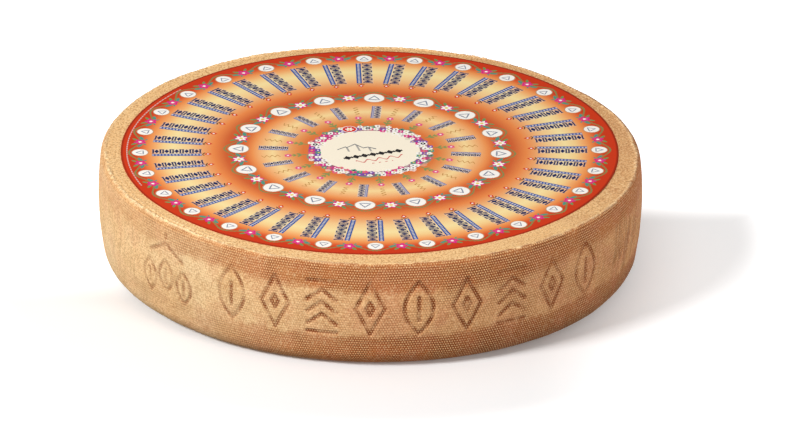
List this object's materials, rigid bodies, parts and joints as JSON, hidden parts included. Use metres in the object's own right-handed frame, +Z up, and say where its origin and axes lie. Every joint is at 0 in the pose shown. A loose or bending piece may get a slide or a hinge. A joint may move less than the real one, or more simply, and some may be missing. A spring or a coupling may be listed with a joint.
{
  "type": "cheese wheel",
  "caption": "Whole flat round wheel of hard mountain cheese with a cloth-marked tan rind and a round printed paper label pasted on its upper face.",
  "frame": {"origin": "centre of the flat face that the wheel rests on", "axes": "+Z up along the wheel's axis, through the labelled face; the wheel is round, and -Y is the side taken as its front"},
  "size_m": [0.56, 0.56, 0.1175],
  "materials": {
    "rind": "dry, grainy, cloth-marked tan rind",
    "label_paper": "printed satin paper"
  },
  "bodies": {
    "root": {"cheese_wheel": "rind", "top_label": "label_paper"}
  },
  "joints": []
}
